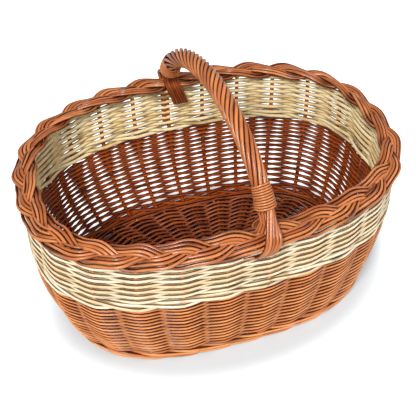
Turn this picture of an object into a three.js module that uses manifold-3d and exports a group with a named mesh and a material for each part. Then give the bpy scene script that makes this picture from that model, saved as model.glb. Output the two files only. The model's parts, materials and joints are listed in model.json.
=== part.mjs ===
// Oval willow shopping basket, woven on twenty-five stakes, with a plaited border and a lapped bow handle.
// Millimetres, +Z up. The origin is under the middle of the basket, on the surface that it stands on.
// +X runs along the length, and the handle arches over the width.

import * as THREE from 'three';
import Module from 'manifold-3d';
import { mergeVertices } from 'three/addons/utils/BufferGeometryUtils.js';

const wasm = await Module();
wasm.setup();

// Wall line, on which the stakes stand: an oval at the foot, at the belly and under the border
const footHalfLength = 193;
const footHalfWidth = 122.5;
const footSquareness = 2.6;
const bellyHeight = 146;
const bellyHalfLength = 216.5;
const bellyHalfWidth = 144;
const bellySquareness = 2.6;
const borderHeight = 222;
const rimHalfLength = 207;
const rimHalfWidth = 143;
const rimSquareness = 2.4;

// Clearances between pieces that touch in the real basket
const seatGap = 0.3;
const rowGap = 0.5;

// Stakes: an odd number, so that one rod wound round them swaps sides at every stake on every row.
// They are set out from the middle of the front, a little wider apart towards the right-hand end.
const stakeCount = 25;
const stakePhase = 0.55;
const stakeDrift = 0.19;
const stakeDiameter = 4.6;
const stakeSides = 5;
const stakeLengths = 5;
const stakeFootHeight = 0.8;

// Siding rods, brown below the band wale and peeled above it
const sidingRodDepth = 3.6;
const lowerRodHeight = 3.4;
const upperRodHeight = 3.7;

// Wales of three rods, at the foot and under the pale band
const footWaleRod = 4.2;
const footFlatDepth = 0.8;
const footWaleRounds = 2;
const footWaleStart = 14;
const footWaleLastPass = 0.3;
const bandWaleRod = 4;

// Base: sticks through slit cross sticks, and two rods woven round them
const crossStickCount = 9;
const longStickCount = 3;
const crossStickPitch = 16;
const longStickPitch = 7;
const stickDiameter = 5.5;
const stickSides = 6;
const eyeWall = 2.2;
const eyeEndLength = 5;
const baseLevel = 10.5;
const baseRodWidth = 8;
const baseRodHeight = 3.6;

// Border: three flat strands of rods, plaited over a slight crown
const strandWidth = 12.6;
const strandThickness = 4;
const plaitHalfWidth = 8.2;
const plaitLift = 4.4;
const plaitCrown = 2.5;
const plaitRoll = 30;
const plaitFlatness = 0.14;
const plaitStations = 5;
const borderOverhang = 1.5;

// Handle bow, the lapping wound round it, and the collar and the two tails of lapping rods at each foot
const handleRise = 90.5;
const handleInset = 7.5;
const handleSquareness = 1.87;
const handleFrontShift = 13.3;
const handleBackShift = -9.6;
const bowDiameter = 11;
const bowSides = 10;
const lappingRod = 4.4;
const lappingRods = 10;
const lappingTurnLength = 160;
const lappingStations = 16;
const collarTurns = 7;
const collarRod = 2.5;
const collarRodGap = 1;
const collarSteps = 12;
const collarSides = 5;
const collarClearance = 16;
const tailRods = 5;
const tailRod = 4;
const tailRodPitch = 4.2;
const tailInnerFaces = 3;
const outerTailTuck = 7;
const outerTailDrift = 7;
const innerTailDrop = 30;
const innerTailDrift = 10;

const brownWillow = { color: 0xb4653a, roughness: 0.42, metalness: 0 };
const darkWillow = { color: 0x8a4526, roughness: 0.5, metalness: 0 };
const peeledWillow = { color: 0xe8d7a6, roughness: 0.5, metalness: 0 };

const group = new THREE.Group();

function addPiece(name, geometry, finish) {
  const mesh = new THREE.Mesh(geometry, new THREE.MeshStandardMaterial(finish));
  mesh.name = name;
  group.add(mesh);
}

// Value at a height of the curve through three values at the foot, the belly and the rim
function throughThree(height, foot, belly, rim) {
  const low = (height - bellyHeight) * (height - borderHeight) / (bellyHeight * borderHeight);
  const mid = height * (height - borderHeight) / (bellyHeight * (bellyHeight - borderHeight));
  const top = height * (height - bellyHeight) / (borderHeight * (borderHeight - bellyHeight));
  return low * foot + mid * belly + top * rim;
}

// Oval of the wall line. Between the bends of the stakes it runs straight up, as they do
function wallOval(height) {
  const length = borderHeight / stakeLengths;
  const bend = Math.floor(height / length);
  const share = height / length - bend;
  const between = (foot, belly, rim) => (1 - share) * throughThree(bend * length, foot, belly, rim)
    + share * throughThree((bend + 1) * length, foot, belly, rim);
  return {
    a: between(footHalfLength, bellyHalfLength, rimHalfLength),
    b: between(footHalfWidth, bellyHalfWidth, rimHalfWidth),
    n: between(footSquareness, bellySquareness, rimSquareness),
  };
}

// Point of an oval at a polar angle, and the outward normal there
function onOval(oval, angle) {
  const c = Math.cos(angle);
  const s = Math.sin(angle);
  const r = (Math.abs(c / oval.a) ** oval.n + Math.abs(s / oval.b) ** oval.n) ** (-1 / oval.n);
  const point = new THREE.Vector3(r * c, r * s, 0);
  const normal = new THREE.Vector3(
    Math.sign(c) * Math.abs(point.x / oval.a) ** (oval.n - 1) / oval.a,
    Math.sign(s) * Math.abs(point.y / oval.b) ** (oval.n - 1) / oval.b,
    0,
  ).normalize();
  return { point, normal };
}

// Polar angles that divide an oval into equal lengths, from the middle of the front
function equalAngles(oval) {
  const samples = 1440;
  const start = -Math.PI / 2;
  const lengths = [0];
  let last = onOval(oval, start).point;
  for (let i = 1; i <= samples; i++) {
    const next = onOval(oval, start + i * 2 * Math.PI / samples).point;
    lengths.push(lengths[i - 1] + next.distanceTo(last));
    last = next;
  }
  const total = lengths[samples];
  const angleAt = (share) => {
    const turns = Math.floor(share);
    const wanted = (share - turns) * total;
    let i = 1;
    while (lengths[i] < wanted) {
      i++;
    }
    const part = (wanted - lengths[i - 1]) / (lengths[i] - lengths[i - 1]);
    return start + (turns + (i - 1 + part) / samples) * 2 * Math.PI;
  };
  return { angleAt, total };
}

const stakeAngles = equalAngles(wallOval(bellyHeight));

// Polar angle of a stake, or of a place between two stakes
function stakeAngle(stake) {
  const share = (stake + stakePhase) / stakeCount;
  return stakeAngles.angleAt(share - stakeDrift / stakeCount * Math.cos(2 * Math.PI * share));
}

// Point of the wall, counted in stakes, pushed outwards by some distance
function onWall(stake, height, outward) {
  const { point, normal } = onOval(wallOval(height), stakeAngle(stake));
  point.addScaledVector(normal, outward);
  point.z = height;
  return point;
}

// Closed surface through rings of corners, capped at both ends unless it runs round into itself
function loft(rings, closed) {
  const sides = rings[0].length;
  const spans = closed ? rings.length : rings.length - 1;
  const faces = [];
  for (let i = 0; i < spans; i++) {
    const here = i * sides;
    const next = (i + 1) % rings.length * sides;
    for (let j = 0; j < sides; j++) {
      const k = (j + 1) % sides;
      faces.push(here + j, here + k, next + k, here + j, next + k, next + j);
    }
  }
  if (!closed) {
    const end = (rings.length - 1) * sides;
    for (let j = 1; j < sides - 1; j++) {
      faces.push(0, j + 1, j, end, end + j, end + j + 1);
    }
  }
  const points = rings.flat();
  let volume = 0;
  for (let i = 0; i < faces.length; i += 3) {
    const [p, q, r] = [points[faces[i]], points[faces[i + 1]], points[faces[i + 2]]];
    volume += p.dot(q.clone().cross(r));
  }
  if (volume < 0) {
    faces.reverse();
  }
  const geometry = new THREE.BufferGeometry();
  geometry.setAttribute('position', new THREE.Float32BufferAttribute(points.flatMap((p) => p.toArray()), 3));
  geometry.setIndex(faces);
  return geometry;
}

function toSolid(geometry) {
  const bare = geometry.clone();
  bare.deleteAttribute('normal');
  bare.deleteAttribute('uv');
  const merged = mergeVertices(bare);
  return new wasm.Manifold(new wasm.Mesh({
    numProp: 3,
    vertProperties: Float32Array.from(merged.attributes.position.array),
    triVerts: Uint32Array.from(merged.index.array),
  }));
}

function fromSolid(solid) {
  const mesh = solid.getMesh();
  const geometry = new THREE.BufferGeometry();
  geometry.setAttribute('position', new THREE.Float32BufferAttribute(mesh.vertProperties, 3));
  geometry.setIndex(new THREE.Uint32BufferAttribute(mesh.triVerts, 1));
  return geometry;
}

// Four corners of a woven rod's section, across the wall and upright
function rodSection(centre, across, upright, depth, height) {
  return [[1, 0], [0, 1], [-1, 0], [0, -1]].map(([x, y]) => centre.clone()
    .addScaledVector(across, x * depth / 2)
    .addScaledVector(upright, y * height / 2));
}

const up = new THREE.Vector3(0, 0, 1);

function outwardAt(stake, height) {
  return onOval(wallOval(height), stakeAngle(stake)).normal;
}

// Distance off the wall line at which a rod passes a stake, allowing for its slant and for the wall's turn
function passing(stake, height, rodDepth) {
  const clear = stakeDiameter / 2 + seatGap + rodDepth / 2;
  const here = onWall(stake, height, 0);
  const span = Math.min(...[stake - 1, stake + 1].map((next) => here.distanceTo(onWall(next, height, 0))));
  const turn = outwardAt(stake - 1, height).angleTo(outwardAt(stake + 1, height)) / 4;
  return clear / Math.cos(Math.atan(2 * clear / span) + turn);
}

// One rod that winds up the wall, in front of a stake and behind the next
function sidingRod(startHeight, endHeight, rodHeight) {
  const pitch = rodHeight + rowGap;
  const passes = Math.floor((endHeight - startHeight - rodHeight) / pitch * stakeCount);
  const rings = [];
  for (let i = 0; i <= passes; i++) {
    const height = startHeight + rodHeight / 2 + i * pitch / stakeCount;
    const side = i % 2 === 0 ? 1 : -1;
    const centre = onWall(i, height, side * passing(i, height, sidingRodDepth));
    rings.push(rodSection(centre, outwardAt(i, height), up, sidingRodDepth, rodHeight));
  }
  return loft(rings, false);
}

// A rod that runs once round the basket stops just short of the end of the rod that follows it
function cutEnds(rings) {
  const cut = (end, next) => end.map((corner, i) => {
    const along = next[i].clone().sub(corner);
    return corner.clone().addScaledVector(along, seatGap / along.length());
  });
  const last = rings.length - 1;
  return [cut(rings[0], rings[1]), ...rings.slice(1, last), cut(rings[last], rings[last - 1])];
}

// Height that a wale's rods swing through: rods that swap sides pass each other at half of it
function waleSwing(rod) {
  return 2 * (rod + rowGap);
}

// One of three rods of a wale: before two stakes, falling as it goes, and behind the third
function waleRings(which, middleHeight, rod, start) {
  const swing = waleSwing(rod);
  const rings = [];
  for (let i = 0; i <= stakeCount; i++) {
    const beat = (i + which) % 3;
    const height = middleHeight + [swing / 2, -swing / 2, 0][beat];
    const side = [1, 1, -1][beat];
    const centre = onWall(start + i, height, side * passing(start + i, height, rod));
    rings.push(rodSection(centre, outwardAt(start + i, height), up, rod, rod));
  }
  return rings;
}

// Foot wale: its rods run round twice, and their lowest passes are cut flat where the basket stands
const footWaleMiddle = waleSwing(footWaleRod) / 2 + footWaleRod / 2 - footFlatDepth;
const footWaleRise = waleSwing(footWaleRod) + footWaleRod + rowGap;
const footWaleTop = footWaleMiddle + footWaleRise * (footWaleRounds - 0.5) - rowGap / 2;

// A rod steps up at the end of each round, and ends just past a stake, short of the step
function footWaleRings(which) {
  const rings = [];
  for (let round = 0; round < footWaleRounds; round++) {
    const height = footWaleMiddle + round * footWaleRise;
    const level = waleRings(which + round * stakeCount, height, footWaleRod, footWaleStart);
    rings.push(...level.slice(0, stakeCount));
    if (round === footWaleRounds - 1) {
      const [last, beyond] = level.slice(-2);
      rings.push(last.map((corner, i) => corner.clone().lerp(beyond[i], footWaleLastPass)));
    }
  }
  return rings;
}

function flatFooted(geometry) {
  const ground = new THREE.BoxGeometry(4 * footHalfLength, 4 * footHalfWidth, 2 * footWaleRod);
  ground.translate(0, 0, -footWaleRod);
  return fromSolid(toSolid(geometry).subtract(toSolid(ground)));
}

for (let i = 0; i < 3; i++) {
  addPiece(`foot_wale_rod_${i + 1}`, flatFooted(loft(footWaleRings(i), false)), brownWillow);
}

// Band wale, in peeled willow, at the belly
const bandWaleMiddle = bellyHeight;
const bandWaleHalfHeight = waleSwing(bandWaleRod) / 2 + bandWaleRod / 2;
for (let i = 0; i < 3; i++) {
  const rings = waleRings(i, bandWaleMiddle, bandWaleRod, 0);
  addPiece(`band_wale_rod_${i + 1}`, loft(cutEnds(rings), false), peeledWillow);
}

// Underside of the plait, which the top row of siding meets
const plaitUnderside = borderHeight - plaitLift - plaitCrown / 2 - strandThickness / 2 - 1.2;

const lowerSiding = sidingRod(footWaleTop + rowGap, bandWaleMiddle - bandWaleHalfHeight - rowGap, lowerRodHeight);
const upperSiding = sidingRod(bandWaleMiddle + bandWaleHalfHeight + rowGap, plaitUnderside - rowGap, upperRodHeight);
addPiece('lower_siding_rod', lowerSiding, brownWillow);
addPiece('upper_siding_rod', upperSiding, peeledWillow);

// Round rod through a row of points, with its bends mitred and its section level at both ends or square to it
function rodThrough(points, diameter, sides) {
  const rings = points.map((point, i) => {
    const before = points[Math.max(i - 1, 0)];
    const after = points[Math.min(i + 1, points.length - 1)];
    const ahead = after.clone().sub(before).normalize();
    const side = Math.abs(ahead.z) > 0.7 ? new THREE.Vector3(1, 0, 0) : up;
    const across = ahead.clone().cross(side).normalize();
    const other = across.clone().cross(ahead);
    return ringOf(point, across, other, new Array(sides).fill(diameter / 2), Math.PI / sides);
  });
  return loft(rings, false);
}

// Corners round a point, one for each radius
function ringOf(point, across, other, radii, twist) {
  return radii.map((radius, i) => {
    const turn = twist + i * 2 * Math.PI / radii.length;
    return point.clone()
      .addScaledVector(across, Math.cos(turn) * radius)
      .addScaledVector(other, Math.sin(turn) * radius);
  });
}

// Stakes rise from the foot to the plait, which bears on their tops
const plaitSlope = Math.atan(4 / 3 * Math.PI * plaitLift * stakeCount / stakeAngles.total);
const rollAngle = THREE.MathUtils.degToRad(plaitRoll);
const rolledDepth = strandWidth / 4 * Math.sin(rollAngle) + strandThickness / 2 * Math.cos(rollAngle);
const stakeTop = borderHeight - seatGap - rolledDepth / Math.cos(plaitSlope) - stakeDiameter / 2 * Math.tan(plaitSlope);
for (let i = 0; i < stakeCount; i++) {
  const points = [onWall(i, stakeFootHeight, 0)];
  for (let j = 1; j < stakeLengths; j++) {
    points.push(onWall(i, j * borderHeight / stakeLengths, 0));
  }
  points.push(onWall(i, stakeTop, 0));
  const name = `stake_${String(i + 1).padStart(2, '0')}`;
  addPiece(name, rodThrough(points, stakeDiameter, stakeSides), brownWillow);
}

// Border: the plait's middle line follows the rim, moved outwards over the wall
function onBorder(stake) {
  const point = onWall(stake, borderHeight, borderOverhang);
  return { point, outward: outwardAt(stake, borderHeight) };
}

// A strand swings from edge to edge, on top as it leaves an edge and underneath as it nears the next one.
// Midway it rolls, over one strand and under the other
function borderStrand(which) {
  const rings = [];
  for (let i = 0; i <= plaitStations * stakeCount; i++) {
    const stake = i / plaitStations;
    const beat = 2 * Math.PI * (stake + which + 0.5) / 3;
    const { point, outward } = onBorder(stake);
    const swing = Math.sin(beat);
    const roll = rollAngle * Math.cos(beat) ** 3;
    const lean = -Math.atan(2 * plaitCrown * swing / plaitHalfWidth) - roll;
    const across = outward.clone().multiplyScalar(Math.cos(lean)).addScaledVector(up, Math.sin(lean));
    const upright = outward.clone().multiplyScalar(-Math.sin(lean)).addScaledVector(up, Math.cos(lean));
    const reach = (swing + plaitFlatness * Math.sin(3 * beat)) / (1 - plaitFlatness);
    const centre = point
      .addScaledVector(outward, plaitHalfWidth * reach)
      .addScaledVector(up, -plaitLift * Math.sin(2 * beat) - plaitCrown * swing * swing);
    const section = [[1, 0], [0.5, 1], [-0.5, 1], [-1, 0], [-0.5, -1], [0.5, -1]];
    rings.push(section.map(([x, y]) => centre.clone()
      .addScaledVector(across, x * strandWidth / 2)
      .addScaledVector(upright, y * strandThickness / 2)));
  }
  return loft(cutEnds(rings), false);
}

for (let i = 0; i < 3; i++) {
  addPiece(`border_strand_${i + 1}`, borderStrand(i), brownWillow);
}

// Base: posts run from the slath to the foot of the wall, evenly spaced round its edge
const basePosts = 2 * (crossStickCount + longStickCount);
const baseInset = passing(0, baseLevel, footWaleRod) + footWaleRod / 2 + seatGap;
const footOval = wallOval(baseLevel);
const baseOval = { a: footOval.a - baseInset, b: footOval.b - baseInset, n: footOval.n };
const baseAngles = equalAngles(baseOval);
const slathHalfLength = crossStickPitch * (crossStickCount - 1) / 2 + stickDiameter / 2 + eyeWall;
const slathHalfWidth = longStickPitch * (longStickCount - 1) / 2 + stickDiameter / 2 + eyeEndLength;

// Both ends of each post, counted round from the middle front
function basePost(post) {
  const edge = onOval(baseOval, baseAngles.angleAt(post / basePosts)).point;
  const place = (post + basePosts) % basePosts;
  const halfCross = (crossStickCount - 1) / 2;
  const halfLong = (longStickCount - 1) / 2;
  const side = Math.floor((place + halfCross) / (basePosts / 2)) % 2 === 0 ? 1 : -1;
  const along = (place + halfCross) % (basePosts / 2);
  let start;
  if (along < crossStickCount) {
    start = new THREE.Vector3((along - halfCross) * crossStickPitch, -slathHalfWidth, 0);
  } else {
    start = new THREE.Vector3(slathHalfLength, (along - crossStickCount - halfLong) * longStickPitch, 0);
  }
  start.multiplyScalar(side);
  edge.z = baseLevel;
  start.z = baseLevel;
  return { start, edge };
}

// Cross sticks are slit, and open round the long sticks
const eyeHeight = stickDiameter + 2 * seatGap + 2 * eyeWall;
const slitLength = longStickPitch * (longStickCount - 1) + stickDiameter + 2 * seatGap;
for (let i = 0; i < crossStickCount; i++) {
  const post = i - (crossStickCount - 1) / 2;
  const front = basePost(post);
  const back = basePost(basePosts / 2 - post);
  const x = front.start.x;
  const rod = toSolid(rodThrough([front.edge, front.start, back.start, back.edge], stickDiameter, stickSides));
  const eye = new THREE.BoxGeometry(stickDiameter + 1, slitLength + 2 * eyeEndLength, eyeHeight);
  eye.translate(x, 0, baseLevel);
  const slit = new THREE.BoxGeometry(2 * stickDiameter, slitLength, eyeHeight - 2 * eyeWall);
  slit.translate(x, 0, baseLevel);
  const stick = rod.add(toSolid(eye)).subtract(toSolid(slit));
  addPiece(`base_cross_stick_${i + 1}`, fromSolid(stick), darkWillow);
}

for (let i = 0; i < longStickCount; i++) {
  const right = basePost(basePosts / 4 + i - (longStickCount - 1) / 2);
  const left = basePost(-(basePosts / 4 + i - (longStickCount - 1) / 2));
  const stick = rodThrough([left.edge, left.start, right.start, right.edge], stickDiameter, stickSides);
  addPiece(`base_long_stick_${i + 1}`, stick, darkWillow);
}

// Distance between a post and the next, some way out from the slath
function postSpacing(post, share) {
  const here = basePost(post);
  const next = basePost(post + 1);
  return here.start.lerp(here.edge, share).distanceTo(next.start.lerp(next.edge, share));
}

// Side of the base on which a rod passes a post. Long sticks are taken as one until they open out
function baseSide(post, which, share) {
  const place = (post + (crossStickCount - 1) / 2) % (basePosts / 2);
  const bunched = place >= crossStickCount && postSpacing(post, share) < 2 * baseRodWidth;
  const count = bunched ? post - place + crossStickCount : post;
  return (count + which) % 2 === 0 ? 1 : -1;
}

// Two rods wind outwards round the sticks, turn about, each over the sticks that the other goes under
function baseRod(which) {
  const pitch = baseRodWidth + rowGap;
  const { start, edge } = basePost(0);
  const reach = start.distanceTo(edge) - baseRodWidth - rowGap;
  const passes = Math.floor((reach / pitch - 1) / 2 * basePosts) + 1;
  const clear = stickDiameter / 2 + seatGap + baseRodHeight / 2;
  const rings = [];
  for (let i = 0; i < passes; i++) {
    const post = basePost(i % basePosts);
    const ahead = post.edge.clone().sub(post.start);
    const travel = baseRodWidth / 2 + rowGap + (which + 2 * i / basePosts) * pitch;
    const share = travel / start.distanceTo(edge);
    const centre = post.start.clone().addScaledVector(ahead, share);
    const spacing = Math.min(postSpacing(i, share), postSpacing(i - 1, share));
    const lift = clear / Math.cos(Math.atan(2 * clear / Math.max(spacing, 2 * baseRodWidth)));
    centre.z += baseSide(i % basePosts, which, share) * lift;
    rings.push(rodSection(centre, ahead.normalize(), up, baseRodWidth, baseRodHeight));
  }
  return loft(rings, false);
}

addPiece('base_rod_1', baseRod(0), darkWillow);
addPiece('base_rod_2', baseRod(1), darkWillow);

// Handle: a bow that springs from the border, a little askew across the basket
const borderHalfWidth = rimHalfWidth + borderOverhang;
const handleHalfSpan = borderHalfWidth - handleInset;

class HandleCurve extends THREE.Curve {
  constructor(footAngle) {
    super();
    this.footAngle = footAngle;
  }

  getPoint(t, target = new THREE.Vector3()) {
    const angle = this.footAngle + (Math.PI - 2 * this.footAngle) * t;
    const c = Math.cos(angle);
    const y = -Math.sign(c) * Math.abs(c) ** (2 / handleSquareness) * handleHalfSpan;
    const z = borderHeight + Math.sin(angle) ** (2 / handleSquareness) * handleRise;
    const share = (y / handleHalfSpan + 1) / 2;
    return target.set(handleFrontShift + (handleBackShift - handleFrontShift) * share, y, z);
  }
}

// The bow's ends bear on the crests of the plait
const plaitTop = plaitLift + strandThickness / 2;
const bowFootRise = plaitTop + seatGap + bowDiameter / 4;
const arch = new HandleCurve(Math.asin((bowFootRise / handleRise) ** (handleSquareness / 2)));
const archLength = arch.getLength();

// Frame at a distance from the front or the back foot: the way up the leg, a level side, and the arch's inside
function archFrame(distance, fromBack) {
  const sign = fromBack ? -1 : 1;
  const share = fromBack ? 1 - distance / archLength : distance / archLength;
  const ahead = arch.getTangentAt(share).multiplyScalar(sign);
  const side = new THREE.Vector3(sign, 0, 0).addScaledVector(ahead, -sign * ahead.x).normalize();
  return { point: arch.getPointAt(share), ahead, side, inward: ahead.clone().cross(side) };
}

const collarPitch = collarRod + collarRodGap;
const collarLength = collarTurns * collarPitch + collarRod;
const legLength = collarClearance + collarLength;

// Lapping: rods laid side by side and wound round the bow as one sleeve, from collar to collar
const lappingFrames = [];
for (let i = 0; i <= lappingStations; i++) {
  const start = legLength + seatGap;
  lappingFrames.push(archFrame(start + (archLength - 2 * start) * i / lappingStations, false));
}

function lapping() {
  const length = archLength - 2 * (legLength + seatGap);
  const stationTwist = 2 * Math.PI * length / lappingTurnLength / lappingStations;
  const flattening = Math.cos(Math.PI / lappingRods / 2) * Math.cos(stationTwist / 2);
  const boreRadius = (bowDiameter / 2 + seatGap) / flattening;
  const crests = [];
  for (let j = 0; j < 2 * lappingRods; j++) {
    crests.push(boreRadius + lappingRod * (j % 2 === 0 ? 1 : 0.6));
  }
  const bore = crests.map(() => boreRadius);
  const sleeve = (radii) => lappingFrames
    .map((frame, i) => ringOf(frame.point, frame.side, frame.inward, radii, i * stationTwist));
  return loft([...sleeve(crests), ...sleeve(bore).reverse()], true);
}

const bowRadii = new Array(bowSides).fill(bowDiameter / 2);
const bowRings = [archFrame(0, false), archFrame(legLength / 2, false), ...lappingFrames,
  archFrame(archLength - legLength / 2, false), archFrame(archLength, false)]
  .map((frame) => ringOf(frame.point, frame.side, frame.inward, bowRadii, 0));
addPiece('handle_bow', loft(bowRings, false), darkWillow);
addPiece('handle_lapping', lapping(), brownWillow);

// Tails: flat bundles of lapping rods, curled round the bow inside the collar and opened out below it
const tailBore = (bowDiameter / 2 + seatGap) / Math.cos(tailRods * tailRodPitch / bowDiameter / tailInnerFaces);
const tailRadius = tailBore + tailRod / 2;
const tailHalfWidth = tailRods * tailRodPitch / 2;

// Section of a tail: ridged by its rods on the face that shows, and plain on the other
function tailSection(centre, side, out, curl) {
  const onStrip = (across, depth) => {
    const angle = across / curl;
    return centre.clone()
      .addScaledVector(side, Math.sin(angle) * (curl + depth))
      .addScaledVector(out, Math.cos(angle) * (curl + depth) - curl);
  };
  const corners = [];
  for (let i = 0; i <= 2 * tailRods; i++) {
    const depth = i % 2 === 1 ? tailRod / 2 : tailRod / 5;
    corners.push(onStrip(tailHalfWidth * (i / tailRods - 1), depth));
  }
  for (let i = tailInnerFaces; i >= 0; i--) {
    corners.push(onStrip(tailHalfWidth * (2 * i / tailInnerFaces - 1), -tailRod / 2));
  }
  return corners;
}

// A tail leaves the bow and passes over one side of the border, by points given as [outwards, upwards, curl],
// and drifts sideways as it goes
function tail(fromBack, outside, route, drift) {
  const sign = fromBack ? -1 : 1;
  const outwards = new THREE.Vector3(0, -sign, 0);
  const facing = outside ? -1 : 1;
  const rings = [legLength - seatGap, legLength / 2 + collarClearance / 2, collarClearance - 1].map((distance) => {
    const { point, side, inward } = archFrame(distance, fromBack);
    const centre = point.addScaledVector(inward, facing * tailRadius);
    return tailSection(centre, side, inward.clone().multiplyScalar(facing), tailRadius);
  });
  const foot = archFrame(0, fromBack).point;
  const points = route.map(([out, rise], i) => new THREE.Vector3(
    foot.x - sign * drift * (i + 1) / route.length,
    -sign * borderHalfWidth,
    borderHeight + rise,
  ).addScaledVector(outwards, out));
  const first = archFrame(collarClearance - 1, fromBack);
  const before = first.point.addScaledVector(first.inward, facing * tailRadius);
  points.forEach((point, i) => {
    const behind = i === 0 ? before : points[i - 1];
    const next = points[Math.min(i + 1, points.length - 1)];
    const side = new THREE.Vector3(sign, 0, 0);
    const down = next.clone().sub(behind);
    down.x = 0;
    down.normalize();
    const out = down.clone().cross(side).multiplyScalar(-facing);
    rings.push(tailSection(point, side, out, route[i][2]));
  });
  return loft(rings, false);
}

// How far the border and the siding reach from the border's middle line, with a tail's own half thickness
const tailSeat = tailRod / 2 + seatGap;
const besideBorder = plaitHalfWidth + strandWidth / 2 + seatGap + tailSeat;
const flat = 400;

function besideWall(rise) {
  const height = borderHeight + rise;
  return wallOval(height).b - borderHalfWidth - passing(0, height, sidingRodDepth) - sidingRodDepth / 2 - tailSeat;
}

const outerRoute = [
  [besideBorder - 4.4, plaitTop + 2, 60],
  [besideBorder, -1, flat],
  [besideBorder, -plaitLift - 2, flat],
  [besideBorder - 2, -plaitLift - plaitCrown - 4.5, flat],
  [besideBorder - outerTailTuck, -plaitLift - plaitCrown - 7, flat],
];
const innerRoute = [
  [0.1 - besideBorder, plaitTop + 1.2, 60],
  [-besideBorder, -1, flat],
  [-besideBorder, -plaitLift - plaitCrown, flat],
  [besideWall(-innerTailDrop * 0.6), -innerTailDrop * 0.6, flat],
  [besideWall(-innerTailDrop), -innerTailDrop, flat],
];

// Least distance between the corners of a winding's rings and those one turn on
function leastGap(rings, steps) {
  let least = Infinity;
  for (let i = 0; i + steps < rings.length; i++) {
    for (const place of [i + steps - 1, i + steps]) {
      for (const p of rings[i]) {
        for (const q of rings[place]) {
          least = Math.min(least, p.distanceTo(q));
        }
      }
    }
  }
  return least;
}

// Collar: one rod wound round the bow and its tails
function collar(fromBack) {
  const radius = (tailRadius + tailRod / 2 + seatGap + collarRod / 2) / Math.cos(Math.PI / collarSteps);
  const rings = [];
  for (let i = 0; i <= collarTurns * collarSteps; i++) {
    const { point, ahead, side, inward } = archFrame(
      collarClearance + collarRod / 2 + i / collarSteps * collarPitch,
      fromBack,
    );
    const turn = i / collarSteps * 2 * Math.PI;
    const radial = side.multiplyScalar(Math.cos(turn)).addScaledVector(inward, Math.sin(turn));
    const radii = new Array(collarSides).fill(collarRod / 2);
    rings.push(ringOf(point.addScaledVector(radial, radius), radial, ahead, radii, Math.PI / collarSides));
  }
  console.log(`collar: least gap to itself ${leastGap(rings, collarSteps).toFixed(2)} mm`);
  return loft(rings, false);
}

for (const [name, fromBack] of [['front', false], ['back', true]]) {
  addPiece(`outer_tail_${name}`, tail(fromBack, true, outerRoute, outerTailDrift), brownWillow);
  addPiece(`inner_tail_${name}`, tail(fromBack, false, innerRoute, innerTailDrift), darkWillow);
  addPiece(`collar_${name}`, collar(fromBack), brownWillow);
}

// The box round the whole basket is set squarely about the origin
const box = new THREE.Box3().setFromObject(group);
const centre = box.getCenter(new THREE.Vector3());
for (const mesh of group.children) {
  mesh.geometry.translate(-centre.x, -centre.y, -box.min.z);
}

export default group;
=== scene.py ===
"""Oval willow shopping basket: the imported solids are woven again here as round, slightly uneven rods."""

import json
import math
from collections import namedtuple

import bpy
import numpy as np
from mathutils import Matrix, Vector

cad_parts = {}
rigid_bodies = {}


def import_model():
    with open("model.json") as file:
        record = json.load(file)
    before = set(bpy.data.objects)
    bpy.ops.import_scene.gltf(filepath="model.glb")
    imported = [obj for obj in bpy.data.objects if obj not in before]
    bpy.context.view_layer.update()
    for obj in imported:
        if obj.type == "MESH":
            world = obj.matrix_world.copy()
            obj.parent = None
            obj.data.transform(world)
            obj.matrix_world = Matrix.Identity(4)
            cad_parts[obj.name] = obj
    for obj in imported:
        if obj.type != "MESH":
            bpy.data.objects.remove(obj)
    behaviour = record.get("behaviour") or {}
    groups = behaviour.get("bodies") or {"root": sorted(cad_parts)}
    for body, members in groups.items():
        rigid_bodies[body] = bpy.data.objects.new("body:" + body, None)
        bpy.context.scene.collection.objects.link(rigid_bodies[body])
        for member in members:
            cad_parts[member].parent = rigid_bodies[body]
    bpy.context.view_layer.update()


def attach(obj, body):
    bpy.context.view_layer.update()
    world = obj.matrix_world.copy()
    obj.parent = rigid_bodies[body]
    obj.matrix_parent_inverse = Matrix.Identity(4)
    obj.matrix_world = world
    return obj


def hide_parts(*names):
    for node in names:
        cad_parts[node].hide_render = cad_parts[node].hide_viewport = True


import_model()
dice = np.random.default_rng(seed=7)

MM = 0.001

# Sizes in millimetres. An oval is its half length, half width and squareness.

FOOT, BELLY, RIM = (193.0, 122.5, 2.8), (216.5, 144.0, 2.6), (207.0, 143.0, 2.5)
BELLY_HEIGHT, BORDER_HEIGHT = 146.0, 222.0
FOOT_DRIFT, FOOT_TURN = 5.5, 0.034
CENTRING, WALL_INSET = 0.083, 0.4

STAKES, STAKE_PHASE, STAKE_DRIFT = 25, 0.55, 0.19
STAKE_GIRTH, STAKE_SWELL, STAKE_THINNING, STAKE_LEAN = 5.5, 1.02, 0.04, 0.25
STAKE_FOOT, STAKE_TOP = 1.0, 216.0
BOW_END_PLACE, BOW_END_FOOT, BOW_END_TOP, BOW_END_GIRTH = 12.1, 160.0, 214.0, 8.5

LOWER_SIDING = dict(girth=3.85, pitch=3.95, low=19.5, high=144.0, thinning=0.25, tightness=0.7, recess_shade=0.28)
UPPER_SIDING = dict(girth=4.95, pitch=4.2, low=148.5, high=221.5, thinning=0.05, tightness=2.2, recess_shade=0.18)
FOOT_WALE = dict(girth=4.8, middle=6.6, swing=7.2, tightness=0.9, rounds=2, rise=8.6, start=14)
BAND_WALE = dict(girth=5.1, middle=BELLY_HEIGHT, swing=9.6, tightness=1.8)

STRAND_RODS, STRAND_ROD, STRAND_WIDTH = 4, 3.7, 15.2
PLAIT_HALF_WIDTH, PLAIT_LIFT, PLAIT_CROWN, PLAIT_FLATNESS = 6.6, 2.7, 0.6, 0.18
PLAIT_ROLL, PLAIT_TILT, PLAIT_LEVELLING = math.radians(13), math.radians(20), math.radians(16)
BORDER_OVERHANG, BORDER_HALF_WIDTH = 1.2, 144.2

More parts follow.
